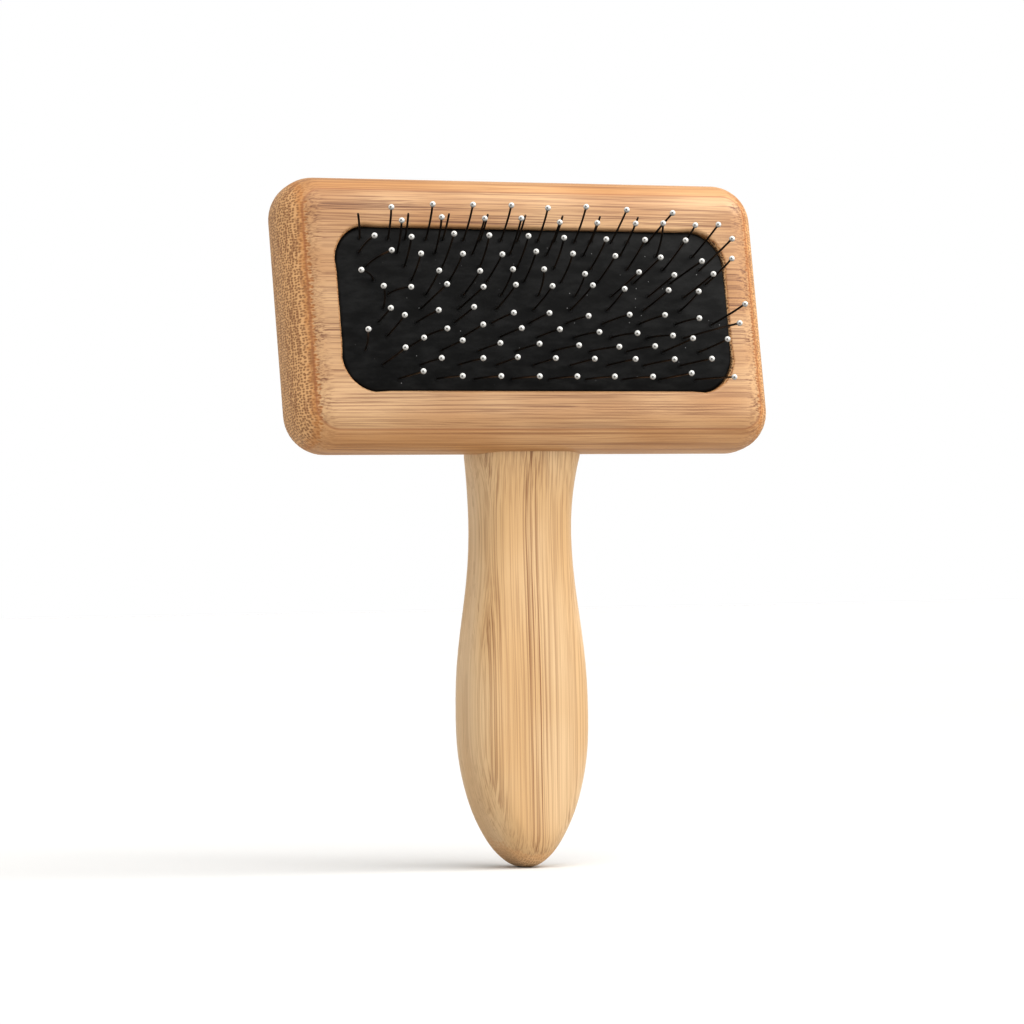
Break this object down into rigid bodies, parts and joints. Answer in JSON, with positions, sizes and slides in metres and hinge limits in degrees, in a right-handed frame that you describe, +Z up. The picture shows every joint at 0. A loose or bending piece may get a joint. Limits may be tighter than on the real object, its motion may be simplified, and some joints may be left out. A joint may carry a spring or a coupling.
{
  "type": "slicker brush",
  "caption": "Bamboo slicker brush: rounded block head leaning back on a straight handle, with ball-tipped wire pins in a sprung black rubber cushion.",
  "frame": {"origin": "middle of the bottom of the brush's box: on the floor under it, with the butt of the handle resting on the floor behind the origin", "axes": "+Z up the handle, +X along the head to the right as seen from the front, -Y the way the pins point"},
  "size_m": [0.123, 0.0402, 0.1622],
  "materials": {
    "bamboo_head": "satin oiled bamboo, grain along the head",
    "bamboo_handle": "satin oiled bamboo, grain along the handle",
    "dowel_wood": "plain turned wood",
    "liner_foam": "closed cell foam sheet",
    "black_rubber": "satin moulded rubber",
    "pin_wire": "dark bronzed spring wire",
    "ball_plastic": "glossy white drop"
  },
  "bodies": {
    "head_and_handle": {"head_block": "bamboo_head", "handle": "bamboo_handle", "dowel_left": "dowel_wood", "dowel_right": "dowel_wood", "foam_liner": "liner_foam"},
    "cushion": {"rubber_pad": "black_rubber"},
    "row_01": {"pin_row_01": "pin_wire", "ball_tips_01": "ball_plastic", "bare_pins": "pin_wire"},
    "row_02": {"pin_row_02": "pin_wire", "ball_tips_02": "ball_plastic"},
    "row_03": {"pin_row_03": "pin_wire", "ball_tips_03": "ball_plastic"},
    "row_04": {"pin_row_04": "pin_wire", "ball_tips_04": "ball_plastic"},
    "row_05": {"pin_row_05": "pin_wire", "ball_tips_05": "ball_plastic"},
    "row_06": {"pin_row_06": "pin_wire", "ball_tips_06": "ball_plastic"},
    "row_07": {"pin_row_07": "pin_wire", "ball_tips_07": "ball_plastic"},
    "row_08": {"pin_row_08": "pin_wire", "ball_tips_08": "ball_plastic"},
    "row_09": {"pin_row_09": "pin_wire", "ball_tips_09": "ball_plastic"},
    "row_10": {"pin_row_10": "pin_wire", "ball_tips_10": "ball_plastic"},
    "row_11": {"pin_row_11": "pin_wire", "ball_tips_11": "ball_plastic"}
  },
  "joints": [
    {"name": "cushion_press", "type": "slide", "parent": "head_and_handle", "child": "cushion", "axis": [0, 0.9877, -0.1564], "range_m": [0, 0.0015], "stiffness_N_per_m": 9000},
    {"name": "row_01_sway", "type": "hinge", "parent": "cushion", "child": "row_01", "pos_m": [0, 0.002, 0.14727], "axis": [1, 0, 0], "range_deg": [-8, 8], "stiffness_Nm_per_rad": 0.24},
    {"name": "row_02_sway", "type": "hinge", "parent": "cushion", "child": "row_02", "pos_m": [0, 0.00134, 0.14404], "axis": [1, 0, 0], "range_deg": [-8, 8], "stiffness_Nm_per_rad": 0.24},
    {"name": "row_03_sway", "type": "hinge", "parent": "cushion", "child": "row_03", "pos_m": [0, 0.00071, 0.1408], "axis": [1, 0, 0], "range_deg": [-8, 8], "stiffness_Nm_per_rad": 0.24},
    {"name": "row_04_sway", "type": "hinge", "parent": "cushion", "child": "row_04", "pos_m": [0, 0.00011, 0.13755], "axis": [1, 0, 0], "range_deg": [-8, 8], "stiffness_Nm_per_rad": 0.24},
    {"name": "row_05_sway", "type": "hinge", "parent": "cushion", "child": "row_05", "pos_m": [0, -0.00046, 0.1343], "axis": [1, 0, 0], "range_deg": [-8, 8], "stiffness_Nm_per_rad": 0.24},
    {"name": "row_06_sway", "type": "hinge", "parent": "cushion", "child": "row_06", "pos_m": [0, -0.00099, 0.13104], "axis": [1, 0, 0], "range_deg": [-8, 8], "stiffness_Nm_per_rad": 0.24},
    {"name": "row_07_sway", "type": "hinge", "parent": "cushion", "child": "row_07", "pos_m": [0, -0.00149, 0.12778], "axis": [1, 0, 0], "range_deg": [-8, 8], "stiffness_Nm_per_rad": 0.24},
    {"name": "row_08_sway", "type": "hinge", "parent": "cushion", "child": "row_08", "pos_m": [0, -0.00196, 0.12452], "axis": [1, 0, 0], "range_deg": [-8, 8], "stiffness_Nm_per_rad": 0.24},
    {"name": "row_09_sway", "type": "hinge", "parent": "cushion", "child": "row_09", "pos_m": [0, -0.00239, 0.12124], "axis": [1, 0, 0], "range_deg": [-8, 8], "stiffness_Nm_per_rad": 0.24},
    {"name": "row_10_sway", "type": "hinge", "parent": "cushion", "child": "row_10", "pos_m": [0, -0.00279, 0.11796], "axis": [1, 0, 0], "range_deg": [-8, 8], "stiffness_Nm_per_rad": 0.24},
    {"name": "row_11_sway", "type": "hinge", "parent": "cushion", "child": "row_11", "pos_m": [0, -0.00316, 0.11468], "axis": [1, 0, 0], "range_deg": [-8, 8], "stiffness_Nm_per_rad": 0.24}
  ]
}
